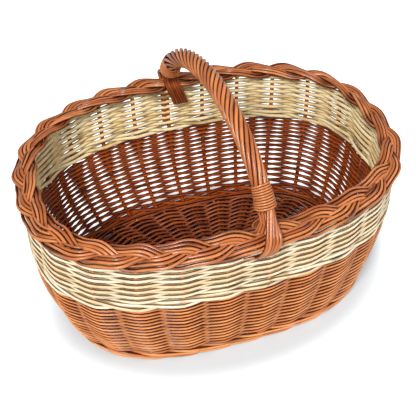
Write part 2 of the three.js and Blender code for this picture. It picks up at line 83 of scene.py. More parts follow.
HANDLE_HALF_SPAN, HANDLE_RISE, HANDLE_SQUARENESS, HANDLE_FOOT_RISE = 137.0, 90.5, 1.87, 10.45
HANDLE_FRONT_SHIFT, HANDLE_BACK_SHIFT = 13.3, -9.6
BOW_GIRTH, BOW_FRONT_GIRTH, BOW_BACK_GIRTH = 10.0, 9.5, 14.5
LAPPING_ROD, LAPPING_RODS, LAPPING_TURN, LAPPING_QUICKENING = 4.4, 10, 118.0, 0.07
LAPPING_RADIUS, LAPPING_FLARE, LAPPING_TUCK = 6.7, 2.6, 1.5
COLLAR_CLEARANCE, COLLAR_LENGTH, COLLAR_TURNS, COLLAR_ROD = 16.0, 24.0, 10, 2.5
COLLAR_RADII_AND_FLARES = {"front": (10.3, -1.8), "back": (11.8, -0.8)}
LEG = COLLAR_CLEARANCE + COLLAR_LENGTH

CROSS_STICKS, LONG_STICKS, CROSS_PITCH, LONG_PITCH = 9, 3, 16.0, 7.0
STICK_GIRTH, BASE_LEVEL, BASE_PITCH, BASE_ROD, BASE_SEAT = 5.5, 10.5, 3.7, 4.3, 0.6
SLATH_HALF_LENGTH = CROSS_PITCH * (CROSS_STICKS - 1) / 2 + STICK_GIRTH / 2 + 2.2
SLATH_HALF_WIDTH = LONG_PITCH * (LONG_STICKS - 1) / 2 + STICK_GIRTH / 2 + 5
POSTS = 2 * (CROSS_STICKS + LONG_STICKS)

# How many points a rod's path has, in all or for each stake that it passes

STAKE_POINTS, BOW_POINTS, LAPPING_POINTS, COLLAR_POINTS, RING_POINTS = 40, 80, 120, 40, 161
SIDING_POINTS, WALE_POINTS, PLAIT_POINTS, FEWEST_POINTS = 6, 8, 10, 8

# Painted shade on a rod where it is tucked under another, on its covered side, and near the band's wale

TUCKED_SHADE, OUTER_SHADE, INNER_SHADE = 0.4, 0.55, 0.12
BAND_SHADE, BAND_SHADE_REACH = 0.65, 5


# The wall that the rods follow

def through_three(height, foot, belly, rim):
    """Parabola through a size at the foot, the belly and the rim."""
    low = (height - BELLY_HEIGHT) * (height - BORDER_HEIGHT) / (BELLY_HEIGHT * BORDER_HEIGHT)
    mid = height * (height - BORDER_HEIGHT) / (BELLY_HEIGHT * (BELLY_HEIGHT - BORDER_HEIGHT))
    top = height * (height - BELLY_HEIGHT) / (BORDER_HEIGHT * (BORDER_HEIGHT - BELLY_HEIGHT))
    return low * foot + mid * belly + top * rim


def wall_oval(height):
    return tuple(through_three(height, *sizes) for sizes in zip(FOOT, BELLY, RIM))


def on_oval(oval, angle):
    """Points of an oval at polar angles, and the outward normals there."""
    half_length, half_width, squareness = oval
    c, s = np.cos(angle), np.sin(angle)
    along, across = np.abs(c / half_length), np.abs(s / half_width)
    reach = (along ** squareness + across ** squareness) ** (-1 / squareness)
    point = np.stack([reach * c, reach * s], -1)
    normal = np.stack([
        np.sign(c) * np.abs(reach * c / half_length) ** (squareness - 1) / half_length,
        np.sign(s) * np.abs(reach * s / half_width) ** (squareness - 1) / half_width,
    ], -1)
    return point, normal / np.linalg.norm(normal, axis=-1, keepdims=True)


def even_angles(oval, steps=1440):
    """Function that gives the polar angle at a share of an oval's length, from the middle of the front."""
    angles = np.linspace(-math.pi / 2, 1.5 * math.pi, steps + 1)
    strides = np.linalg.norm(np.diff(on_oval(oval, angles)[0], axis=0), axis=1)
    lengths = np.concatenate([[0], np.cumsum(strides)])

    def angle_at(share):
        turns = np.floor(share)
        return np.interp(share - turns, lengths / lengths[-1], angles) + 2 * math.pi * turns

    return angle_at


angle_round_wall = even_angles(BELLY)


def stake_angle(stake):
    share = (np.asarray(stake, float) + STAKE_PHASE) / STAKES
    return angle_round_wall(share - STAKE_DRIFT / STAKES * np.cos(2 * math.pi * share))


def outward_at(stake, height):
    normal = on_oval(wall_oval(np.asarray(height, float)), stake_angle(stake))[1]
    return np.concatenate([normal, np.zeros(normal.shape[:-1] + (1,))], -1)


def on_wall(stake, height, outward):
    """Points of the wall, counted in stakes, pushed outwards by some distance."""
    stake, height, outward = np.broadcast_arrays(*np.atleast_1d(stake, height, outward))
    point, normal = on_oval(wall_oval(height.astype(float)), stake_angle(stake))
    flat = point + normal * (outward[..., None] - WALL_INSET)
    return np.concatenate([flat, height[..., None]], -1)


def through_beats(u, values):
    """Eased swing through three values, one at each stake, over and over."""
    values = np.array(values)
    beat = np.floor(u).astype(int)
    share = u - beat
    share = 0.5 * share + 0.5 * share ** 2 * (3 - 2 * share)
    return values[beat % 3] * (1 - share) + values[(beat + 1) % 3] * share


def near(distance, reach):
    """1 at no distance, fading out over a reach."""
    return np.exp(-(distance / reach) ** 2)


def towards(x, y, z):
    return np.array([x, y, z]) / math.hypot(x, y, z)


def smooth_path(points, between):
    """Catmull-Rom curve through a few points."""
    points = np.asarray(points)
    padded = np.concatenate([[2 * points[0] - points[1]], points, [2 * points[-1] - points[-2]]])
    result = []
    for i in range(len(points) - 1):
        p0, p1, p2, p3 = padded[i:i + 4]
        for t in np.arange(between) / between:
            result.append(0.5 * (2 * p1 + (p2 - p0) * t + (2 * p0 - 5 * p1 + 4 * p2 - p3) * t ** 2
                                 + (3 * p1 - p0 - 3 * p2 + p3) * t ** 3))
    result.append(points[-1])
    return np.array(result)


# Rods as paths

POINTED_END = 0.7


class Bundle:
    """Paths of rods, with a girth, an open side and painted shade at each point, and a tint for each rod."""

    def __init__(self):
        self.points, self.girths, self.tints = [], [], []
        self.facings, self.depths, self.edges = [], [], []
        self.count = 0

    def rod(self, points, girth, facing=(0, 0, 1), blunt=False, sunk_shade=0.0):
        """Adds a rod, with the way that its open side faces.

        A shorter facing paints it darker. Sunk paints shade on the side facing that way, or below 0 the one
        behind.
        """
        points = np.asarray(points, float)
        size = len(points)
        girth = np.broadcast_to(np.asarray(girth, float), (size,)).copy()
        if not blunt:
            girth[[0, -1]] *= POINTED_END
        self.points.append(points)
        self.girths.append(girth / 2)
        self.tints.append(np.full(size, dice.random()))
        self.facings.append(np.broadcast_to(np.asarray(facing, float), (size, 3)))
        self.depths.append(np.broadcast_to(np.asarray(sunk_shade, float), (size,)))
        first = np.arange(self.count, self.count + size - 1)
        self.edges.append(np.stack([first, first + 1], -1))
        self.count += size


def lean_foot(points):
    """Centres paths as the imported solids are, and shifts and turns the foot a little."""
    low = (1 - points[:, 2] / BELLY_HEIGHT).clip(0, 1) ** 2
    x, y = points[:, 0].copy(), points[:, 1].copy()
    points[:, 0] += CENTRING + low * (FOOT_DRIFT + FOOT_TURN * y)
    points[:, 1] -= low * FOOT_TURN * x


def path_object(name, bundle):
    """Loose edges along the rods' paths, in metres, that carry their radius, tint, painted shade and open
    side.
    """
    mesh = bpy.data.meshes.new(name)
    points = np.concatenate(bundle.points)
    lean_foot(points)
    mesh.from_pydata((points * MM).tolist(), np.concatenate(bundle.edges).tolist(), [])
    carried = {
        "girth": np.concatenate(bundle.girths) * MM,
        "tint": np.concatenate(bundle.tints),
        "sunk_shade": np.concatenate(bundle.depths),
    }
    for label, values in carried.items():
        mesh.attributes.new(label, "FLOAT", "POINT").data.foreach_set("value", values.astype(np.float32))
    facing = mesh.attributes.new("facing", "FLOAT_VECTOR", "POINT")
    facing.data.foreach_set("vector", np.concatenate(bundle.facings).astype(np.float32).ravel())
    piece = bpy.data.objects.new(name, mesh)
    bpy.context.scene.collection.objects.link(piece)
    return piece


# Node trees

class Layout:
    """A node tree being laid out, with short ways to add nodes and links."""

    def __init__(self, tree):
        self.tree = tree

    def node(self, kind, values=None, **settings):
        made = self.tree.nodes.new(kind)
        for key, value in settings.items():
            setattr(made, key, value)
        for key, value in (values or {}).items():
            self.feed(made.inputs[key], value)
        return made

    def feed(self, socket, value):
        if isinstance(value, bpy.types.NodeSocket):
            self.tree.links.new(value, socket)
        elif isinstance(value, bpy.types.Node):
            self.tree.links.new(value.outputs[0], socket)
        else:
            socket.default_value = value

    def math(self, operation, *values):
        return self.node("ShaderNodeMath", dict(enumerate(values)), operation=operation).outputs[0]

    def ranged(self, value, low, high, to=(0.0, 1.0), smooth=False):
        """The place of a value between low and high, brought to another range and kept inside it."""
        sizes = {"Value": value, "From Min": low, "From Max": high, "To Min": to[0], "To Max": to[1]}
        blend = "SMOOTHSTEP" if smooth else "LINEAR"
        return self.node("ShaderNodeMapRange", sizes, interpolation_type=blend).outputs[0]

    def mixed(self, blend, under, over, factor):
        layers = {"A": under, "B": over, "Factor": factor}
        return self.node("ShaderNodeMix", layers, data_type="RGBA", blend_type=blend).outputs["Result"]


class RodTree(Layout):
    """A Geometry Nodes tree with named inputs."""

    def __init__(self, name, sockets):
        super().__init__(bpy.data.node_groups.new(name, "GeometryNodeTree"))
        self.ids = {}
        for label, kind, default in sockets:
            socket = self.tree.interface.new_socket(name=label, in_out="INPUT", socket_type=kind)
            if default is not None:
                socket.default_value = default
            self.ids[label] = socket.identifier
        self.tree.interface.new_socket(name="Geometry", in_out="OUTPUT", socket_type="NodeSocketGeometry")
        self.given = self.node("NodeGroupInput").outputs
        self.result = self.node("NodeGroupOutput").inputs

    def vector(self, operation, *values):
        made = self.node("ShaderNodeVectorMath", operation=operation)
        for i, value in enumerate(values):
            self.feed(made.inputs["Scale" if operation == "SCALE" and i == 1 else i], value)
        return made.outputs["Value" if operation == "DOT_PRODUCT" else "Vector"]

    def attribute(self, name, kind="FLOAT"):
        made = self.node("GeometryNodeInputNamedAttribute", {"Name": name}, data_type=kind)
        return made.outputs["Attribute"]

    def store(self, geometry, name, value, kind="FLOAT"):
        values = {"Geometry": geometry, "Name": name, "Value": value}
        made = self.node("GeometryNodeStoreNamedAttribute", values, data_type=kind, domain="POINT")
        return made.outputs["Geometry"]

    def noise(self, place, seed, size, detail):
        values = {"Vector": place, "W": seed, "Scale": size, "Detail": detail}
        return self.node("ShaderNodeTexNoise", values, noise_dimensions="4D").outputs


SWEEP_SOCKETS = [
    ("Sides", "NodeSocketInt", 8),
    ("Wander", "NodeSocketFloat", 0.0004),
    ("Wander Length", "NodeSocketFloat", 0.05),
    ("Lump Size", "NodeSocketFloat", 45.0),
    ("Unevenness", "NodeSocketFloat", 0.08),
    ("Seed", "NodeSocketFloat", 0.0),
    ("Tint Shift", "NodeSocketFloat", 7.0),
]
ROD_SOCKETS = SWEEP_SOCKETS + [("Willow", "NodeSocketMaterial", None)]


def build_sweep():
    """Sweeps a round, slightly uneven and wandering skin along curves that carry a girth."""
    t = RodTree("sweep_willow", [("Curves", "NodeSocketGeometry", None)] + SWEEP_SOCKETS)
    given = t.given
    place = t.node("GeometryNodeInputPosition").outputs[0]
    stray = t.noise(place, given["Seed"], t.math("DIVIDE", 1.0, given["Wander Length"]), 1.0)["Color"]
    offset = t.vector("SCALE", t.vector("SUBTRACT", stray, (0.5, 0.5, 0.5)), given["Wander"])
    moved = t.node("GeometryNodeSetPosition", {"Geometry": given["Curves"], "Offset": offset})
    along = t.store(moved, "along", t.node("GeometryNodeSplineParameter").outputs["Length"])
    lumps = t.noise(place, given["Seed"], given["Lump Size"], 2.0)[0]
    swell = t.math("MULTIPLY_ADD", t.math("SUBTRACT", lumps, 0.5), given["Unevenness"], 1.0)
    girth = t.math("MULTIPLY", t.attribute("girth"), swell)
    ring = t.node("GeometryNodeCurvePrimitiveCircle", {"Resolution": given["Sides"], "Radius": 1.0})
    ring = t.store(ring.outputs["Curve"], "round", t.node("GeometryNodeSplineParameter").outputs["Factor"])
    skin = t.node("GeometryNodeCurveToMesh",
                  {"Curve": along, "Profile Curve": ring, "Scale": girth, "Fill Caps": True})
    angle = t.math("MULTIPLY", t.attribute("round"), 2 * math.pi)
    spot = t.node("ShaderNodeCombineXYZ", {
        "X": t.math("MULTIPLY", t.math("COSINE", angle), t.attribute("girth")),
        "Y": t.math("MULTIPLY", t.math("SINE", angle), t.attribute("girth")),
        "Z": t.math("MULTIPLY_ADD", t.attribute("tint"), given["Tint Shift"], t.attribute("along")),
    })
    skin = t.store(skin.outputs["Mesh"], "rod_place", spot.outputs[0], "FLOAT_VECTOR")
    normal = t.node("GeometryNodeInputNormal").outputs[0]
    # The open side steers the finishes' painted shade: a shorter facing, or the sunk value on one side, paints
    # more
    turned = t.vector("DOT_PRODUCT", normal, t.attribute("facing", "FLOAT_VECTOR"))
    covered = t.math("MAXIMUM", t.math("MULTIPLY", turned, t.attribute("sunk_shade")), 0.0)
    skin = t.store(skin, "open_side", t.math("MULTIPLY", turned, t.math("SUBTRACT", 1.0, covered)))
    t.feed(t.result[0], t.node("GeometryNodeSetShadeSmooth", {"Geometry": skin}))
    return t


def end_in_rods(t, sweep, curves):
    """Ends a tree by sweeping its curves with its own rod inputs, as real geometry with a willow finish."""
    given = {label: t.given[label] for label, _, _ in SWEEP_SOCKETS}
    swept = t.node("GeometryNodeGroup", {"Curves": curves, **given}, node_tree=sweep.tree)
    solid = t.node("GeometryNodeRealizeInstances", {"Geometry": swept})
    finished = t.node("GeometryNodeSetMaterial", {"Geometry": solid, "Material": t.given["Willow"]})
    t.feed(t.result[0], finished)
    return t


def build_woven(sweep):
    """Rods laid along given paths."""
    t = RodTree("woven_rods", [("Paths", "NodeSocketGeometry", None)] + ROD_SOCKETS)
    return end_in_rods(t, sweep, t.node("GeometryNodeMeshToCurve", {"Mesh": t.given["Paths"]}))


def build_wound(sweep):
    """Rods wound side by side round a given path."""
    t = RodTree("wound_rods", [
        ("Path", "NodeSocketGeometry", None),
        ("Starts", "NodeSocketInt", 1),
        ("Turns", "NodeSocketFloat", 1.0),
        ("Quickening", "NodeSocketFloat", 0.0),
        ("Steps", "NodeSocketInt", 60),
        ("Radius", "NodeSocketFloat", 0.008),
        ("Flare", "NodeSocketFloat", 0.0),
        ("Rod Radius", "NodeSocketFloat", 0.002),
        ("Tint Seed", "NodeSocketInt", 3),
    ] + ROD_SOCKETS)
    given = t.given
    line = t.node("GeometryNodeCurvePrimitiveLine", {"End": (0.0, 0.0, 1.0)})
    line = t.node("GeometryNodeResampleCurve", {"Curve": line, "Count": given["Steps"]})
    copies = {"Geometry": line, "Amount": given["Starts"]}
    copies = t.node("GeometryNodeDuplicateElements", copies, domain="SPLINE")
    copies = t.store(copies.outputs["Geometry"], "start", copies.outputs["Duplicate Index"])

    path = t.node("GeometryNodeMeshToCurve", {"Mesh": given["Path"]})
    share = t.node("GeometryNodeSplineParameter").outputs["Factor"]
    sample = t.node("GeometryNodeSampleCurve", {"Curves": path}, mode="FACTOR", use_all_curves=True)
    t.feed(sample.inputs["Factor"], share)
    ahead = sample.outputs["Tangent"]
    level = (1.0, 0.0, 0.0)
    side = t.vector("SUBTRACT", level, t.vector("SCALE", ahead, t.vector("DOT_PRODUCT", ahead, level)))
    side = t.vector("NORMALIZE", side)
    inward = t.vector("CROSS_PRODUCT", ahead, side)

    slowed = t.math("MULTIPLY", t.math("SINE", t.math("MULTIPLY", share, 2 * math.pi)), given["Quickening"])
    start = t.math("DIVIDE", t.attribute("start"), given["Starts"])
    turned = t.math("MULTIPLY_ADD", t.math("SUBTRACT", share, slowed), given["Turns"], start)
    angle = t.math("MULTIPLY", turned, 2 * math.pi)
    radius = t.math("MULTIPLY_ADD", given["Flare"], share, given["Radius"])
    out = t.vector("ADD",
                   t.vector("SCALE", side, t.math("MULTIPLY", t.math("COSINE", angle), radius)),
                   t.vector("SCALE", inward, t.math("MULTIPLY", t.math("SINE", angle), radius)))
    copies = t.store(copies, "facing", t.vector("NORMALIZE", out), "FLOAT_VECTOR")
    place = t.vector("ADD", sample.outputs["Position"], out)
    laid = t.node("GeometryNodeSetPosition", {"Geometry": copies, "Position": place})
    chance = {"ID": t.attribute("start", "INT"), "Seed": given["Tint Seed"]}
    chance = t.node("FunctionNodeRandomValue", chance, data_type="FLOAT")
    tinted = t.store(laid, "tint", chance.outputs["Value"])
    return end_in_rods(t, sweep, t.store(tinted, "girth", given["Rod Radius"]))


def apply_tree(piece, t, values):
    """Turns a piece into the plain mesh that a tree makes of it."""
    modifier = piece.modifiers.new("rods", "NODES")
    modifier.node_group = t.tree
    for label, value in values.items():
        modifier[t.ids[label]] = value
    depsgraph = bpy.context.evaluated_depsgraph_get()
    evaluated = piece.evaluated_get(depsgraph)
    made = bpy.data.meshes.new_from_object(evaluated, preserve_all_data_layers=True, depsgraph=depsgraph)
    piece.modifiers.remove(modifier)
    paths = piece.data
    piece.data = made
    made.name = piece.name
    bpy.data.meshes.remove(paths)
    for label in ("along", "round", "girth", "start", "facing", "sunk_shade"):
        if label in made.attributes:
            made.attributes.remove(made.attributes[label])


# Willow finishes

UNSHADED = (1.0, 1.0, 1.0)
# Painted shade: colours multiplied into the crevices between rods
BROWN_CREVICE_SHADE, PALE_CREVICE_SHADE = (0.13, 0.055, 0.03), (0.17, 0.085, 0.035)
WORN_SHADE, WORN_MOTTLE = (0.72, 0.62, 0.55), (0.5, 0.75)
BUD_SHADE, BUD_STEEPNESS, BUD_ROUNDING = 0.45, 8.0, 0.2
BUD_HEIGHT, STREAK_HEIGHT = 0.7, 0.5
# Masks for painted shade: the inward sides, and the crevices against other rods
INWARD_SIDES, CREVICE_SIDES = (0.1, -0.3), (0.85, 0.3)
TINT_CONTRAST, STREAK_CONTRAST, DARKENING, MID_TONE = 0.62, 0.9, -0.26, 0.55
ROUGHNESS_SPREAD, COVERED_COAT = (-0.08, 0.12), 0.08
COAT_ROUGHNESS, SPECULAR, RELIEF_STRENGTH = 0.22, 0.22, 0.6

Finish = namedtuple("Finish", "willow slot")


def colour(*values):
    """Linear colour from the 0 to 255 values of red, green and blue that it is usually written with."""
    shares = [value / 255 for value in values]
    linear = [v / 12.92 if v <= 0.04045 else ((v + 0.055) / 1.055) ** 2.4 for v in shares]
    return (*linear, 1.0)


def build_skin_group():
    """Streaks, mottling and buds from a rod's place along and round it, and masks for painted shade inside and
    in crevices.
    """
    group = bpy.data.node_groups.new("willow_skin", "ShaderNodeTree")
    for label, default in (("Streak Size", 900.0), ("Streak Length", 25.0), ("Mottle Size", 60.0),
                           ("Bud Size", 180.0), ("Bud Length", 26.0), ("Bud Rarity", 0.68)):
        socket = group.interface.new_socket(name=label, in_out="INPUT", socket_type="NodeSocketFloat")
        socket.default_value = default
    for label in ("Streaks", "Mottle", "Buds", "Height", "Inward", "Crevice"):
        group.interface.new_socket(name=label, in_out="OUTPUT", socket_type="NodeSocketFloat")
    t = Layout(group)
    given = t.node("NodeGroupInput").outputs
    place = t.node("ShaderNodeAttribute", attribute_name="rod_place").outputs["Vector"]
    x, y, along = t.node("ShaderNodeSeparateXYZ", {0: place}).outputs

    def noise(across_size, along_size, detail):
        spot = t.node("ShaderNodeCombineXYZ", {
            0: t.math("MULTIPLY", x, across_size),
            1: t.math("MULTIPLY", y, across_size),
            2: t.math("MULTIPLY", along, along_size),
        })
        return t.node("ShaderNodeTexNoise", {"Vector": spot, "Scale": 1.0, "Detail": detail}).outputs[0]

    streaks = noise(given["Streak Size"], given["Streak Length"], 3.0)
    mottle = noise(given["Mottle Size"], given["Mottle Size"], 2.0)
    rare = t.math("SUBTRACT", noise(given["Bud Size"], given["Bud Length"], 0.0), given["Bud Rarity"])
    steep = t.math("MULTIPLY", t.math("MAXIMUM", rare, 0.0), BUD_STEEPNESS)
    buds = t.math("SMOOTH_MIN", steep, 1.0, BUD_ROUNDING)
    open_side = t.node("ShaderNodeAttribute", attribute_name="open_side").outputs["Fac"]
    result = {
        "Streaks": streaks,
        "Mottle": mottle,
        "Buds": buds,
        "Height": t.math("MULTIPLY_ADD", buds, BUD_HEIGHT, t.math("MULTIPLY", streaks, STREAK_HEIGHT)),
        "Inward": t.ranged(open_side, *INWARD_SIDES, smooth=True),
        "Crevice": t.ranged(t.math("ABSOLUTE", open_side), *CREVICE_SIDES, smooth=True),
    }
    t.node("NodeGroupOutput", result)
    return group


skin_group = build_skin_group()


def willow(name, slot, shades, roughness, coat, relief=0.3,
           inside=UNSHADED, crevice_shade=BROWN_CREVICE_SHADE, narrow=0.0, lit=1.0):
    """A finish of willow: a tint for each rod, streaks and buds along it, painted shade and a light sheen.

    Inside paints shade on the inward sides, and crevice paints shade on the sides against other rods.
    Narrow keeps the painted crevice shade thin, and lit below 1 lightens it on the inward sides.
    """
    pale, mid, dark = (colour(*shade) for shade in shades)
    material = bpy.data.materials.new(name)
    material.use_nodes = True
    t = Layout(material.node_tree)
    shader = material.node_tree.nodes["Principled BSDF"].inputs
    skin = t.node("ShaderNodeGroup", node_tree=skin_group).outputs
    tint = t.node("ShaderNodeAttribute", attribute_name="tint").outputs["Fac"]

    streaked = t.math("MULTIPLY_ADD", skin["Streaks"], STREAK_CONTRAST, DARKENING)
    ramp = t.node("ShaderNodeValToRGB", {0: t.math("MULTIPLY_ADD", tint, TINT_CONTRAST, streaked)})
    ramp.color_ramp.elements[0].color, ramp.color_ramp.elements[1].color = dark, pale
    ramp.color_ramp.elements.new(MID_TONE).color = mid
    tone = t.mixed("MULTIPLY", ramp.outputs[0], (*WORN_SHADE, 1.0), t.ranged(skin["Mottle"], *WORN_MOTTLE))
    tone = t.mixed("MIX", tone, (*(v * BUD_SHADE for v in dark[:3]), 1.0), skin["Buds"])
    # Painted shade on the inward sides and in the crevices between rods
    tone = t.mixed("MULTIPLY", tone, (*inside, 1.0), skin["Inward"])
    deepest_crevice_shading = t.ranged(skin["Inward"], 0.0, 1.0, to=(1.0, lit))
    depth = t.ranged(skin["Crevice"], narrow, 1.0, to=(0.0, deepest_crevice_shading))
    tone = t.mixed("MULTIPLY", tone, (*crevice_shade, 1.0), depth)
    t.feed(shader["Base Color"], tone)

    roughnesses = [roughness + change for change in ROUGHNESS_SPREAD]
    t.feed(shader["Roughness"], t.ranged(skin["Mottle"], 0.0, 1.0, to=roughnesses))
    t.feed(shader["Coat Weight"], t.ranged(skin["Inward"], 0.0, 1.0, to=(coat, coat * COVERED_COAT)))
    shader["Coat Roughness"].default_value = COAT_ROUGHNESS
    shader["Specular IOR Level"].default_value = SPECULAR
    bump = {"Height": skin["Height"], "Distance": relief * MM, "Strength": RELIEF_STRENGTH}
    t.feed(shader["Normal"], t.node("ShaderNodeBump", bump))
    return Finish(material, slot)


# Every finish paints shade in the crevices between rods
brown = willow(
    "brown_willow", "brown_willow", ((222, 144, 88), (200, 116, 62), (152, 76, 38)),
    roughness=0.32, coat=0.5)
# Walls: a lighter copy of the brown willow as painted light, with painted shade on the inward sides
wall_brown = willow(
    "wall_brown_willow", "brown_willow", ((252, 174, 106), (236, 147, 80), (188, 104, 52)),
    roughness=0.34, coat=0.25, inside=(0.58, 0.31, 0.14), lit=0.85)
dark_brown = willow(
    "dark_willow", "dark_willow", ((188, 101, 52), (158, 78, 38), (116, 50, 20)),
    roughness=0.48, coat=0.1)
# Painted shade and warm bounce light on the inward sides, and painted shade in thin crevices
peeled = willow(
    "peeled_willow", "peeled_willow", ((255, 246, 224), (248, 232, 198), (228, 200, 152)),
    roughness=0.44, coat=0.15, relief=0.2,
    inside=(1.0, 0.95, 0.76), crevice_shade=PALE_CREVICE_SHADE, narrow=0.22, lit=0.1)

sweep_tree = build_sweep()
woven_tree, wound_tree = build_woven(sweep_tree), build_wound(sweep_tree)


def place_piece(piece, nodes):
    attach(piece, "root")
    if nodes:
        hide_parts(*nodes)


def woven_piece(name, bundle, finish, nodes, **values):
    """Rods laid along a bundle's paths. A value's name is its socket's name in small letters."""
    piece = path_object(name, bundle)
    settings = {"Willow": finish.willow, "Seed": float(len(name))}
    settings.update({key.replace("_", " ").title(): value for key, value in values.items()})
    apply_tree(piece, woven_tree, settings)
    place_piece(piece, nodes)


def wound_piece(name, path, finish, nodes, **values):
    """Rods wound round one path. A value's name is its socket's name in small letters."""
    bundle = Bundle()
    bundle.rod(path, 1.0)
    piece = path_object(name, bundle)
    settings = {"Willow": finish.willow, "Seed": float(len(name))}
    settings.update({key.replace("_", " ").title(): value for key, value in values.items()})
    apply_tree(piece, wound_tree, settings)
    place_piece(piece, nodes)


# Stakes, and the thicker end of the bow that is driven down beside one of them

def stakes():
    bundle = Bundle()
    heights = np.linspace(STAKE_FOOT, STAKE_TOP, STAKE_POINTS)
    girths = STAKE_GIRTH * (STAKE_SWELL - STAKE_THINNING * heights / BORDER_HEIGHT)
    for stake in range(STAKES):
        lean = dice.normal(0, STAKE_LEAN)
        bundle.rod(on_wall(float(stake), heights, lean), girths, outward_at(stake, heights))
    beside = np.linspace(BOW_END_FOOT, BOW_END_TOP, FEWEST_POINTS)
    facing = outward_at(BOW_END_PLACE, beside)
    bundle.rod(on_wall(BOW_END_PLACE, beside, 0.0), BOW_END_GIRTH, facing, blunt=True)
    nodes = [f"stake_{i + 1:02d}" for i in range(STAKES)]
    woven_piece("stakes", bundle, wall_brown, nodes, sides=10, wander=0.0009, wander_length=0.08)


# Siding: rods before one stake and behind the next. Lengths along a rod are counted in stakes.

SHORTEST_TURN, SHORTEST_REST, ROD_OVERLAP = 1.1, 6, 0.35
SIDING_ROUNDNESS, TUCK_DEPTH, TUCK_REACH = 0.95, 1.0, 0.3
BUTT_SWELL, TIP_TAPER = 1.04, 0.1
DRAWN_IN, DRAWN_IN_REACH = 1.0, 7


def siding(name, finish, node, girth, pitch, low, high, thinning, tightness, recess_shade):
    bundle = Bundle()
    clear = (STAKE_GIRTH + girth) / 2 - tightness
    tall = high - low - girth
    total = tall / pitch * STAKES
    start = 0.0
    while start < total - 2:
        length = 2 * round(STAKES * 0.5 * (SHORTEST_TURN + dice.random())) + 1
        end = min(start + length, total)
        if total - end < SHORTEST_REST:
            end = total
        u = np.linspace(start, end, max(round((end - start) * SIDING_POINTS), FEWEST_POINTS) + 1)
        share = u / total
        height = low + girth / 2 + tall * share * (1 + thinning * (1 - share))
        swing = np.arcsin(SIDING_ROUNDNESS * np.cos(math.pi * u)) / math.asin(SIDING_ROUNDNESS)
        tucked = TUCK_DEPTH * (near(u - start, TUCK_REACH) + near(u - end, TUCK_REACH))
        drawn_in = DRAWN_IN * near(height - BELLY_HEIGHT, DRAWN_IN_REACH)
        taper = BUTT_SWELL - TIP_TAPER * (u - start) / max(end - start, 1) + thinning * (0.5 - share)
        # Painted shade where a rod crosses between stakes, near the band's wale, and on its side covered by a
        # stake
        shade = 1 - recess_shade * (1 - np.abs(swing))
        shade = shade * (1 - BAND_SHADE * near(height - BELLY_HEIGHT, BAND_SHADE_REACH))
        bundle.rod(on_wall(u, height, clear * swing - tucked - drawn_in), girth * taper,
                   outward_at(u, height) * shade[:, None],
                   sunk_shade=np.where(swing < 0, -OUTER_SHADE, -INNER_SHADE) * swing)
        start = end - ROD_OVERLAP
    woven_piece(name, bundle, finish, [node], sides=8, wander=0.0008, wander_length=0.035, unevenness=0.14)


# Wales: three rods that turn round one another, each before two stakes and behind one

def wale(name, finish, girth, middle, swing, tightness, rounds=1, rise=0.0, start=0):
    """With two rounds, the rods start a stake early and step up by a rise at the end of the first."""
    bundle = Bundle()
    clear = (STAKE_GIRTH + girth) / 2 - tightness
    first, last = 1 - rounds, STAKES * rounds
    u = np.linspace(first, last, (last - first) * WALE_POINTS + 1)
    level = np.clip(u - STAKES + 1, 0, 1) * rise
    for which in range(3):
        height = middle + level + through_beats(u + which, (swing / 2, -swing / 2, 0))
        out = clear * through_beats(u + which, (1, 1, -1))
        # Painted shade on a rod's outer side where it passes behind a stake
        bundle.rod(on_wall(start + u, height, out), girth, outward_at(start + u, height),
                   sunk_shade=(-out / clear).clip(0, 1) * OUTER_SHADE)
    nodes = [f"{name}_rod_{i + 1}" for i in range(3)]
    woven_piece(name, bundle, finish, nodes, sides=12, wander=0.0012, wander_length=0.05, unevenness=0.1)


# Border: three strands, each a flat bundle of rods. Waves are counted round the border.

ROD_STRAY, STRAY_WAVES, ROD_RISE, RISE_WAVES, ROD_SWELL, SWELL_WAVES = 0.55, 7, 0.5, 6, 0.05, 3
STRAND_FAN, STRAND_ROUNDNESS, STRAND_EDGE_TURN = 0.1, 0.12, 1.7


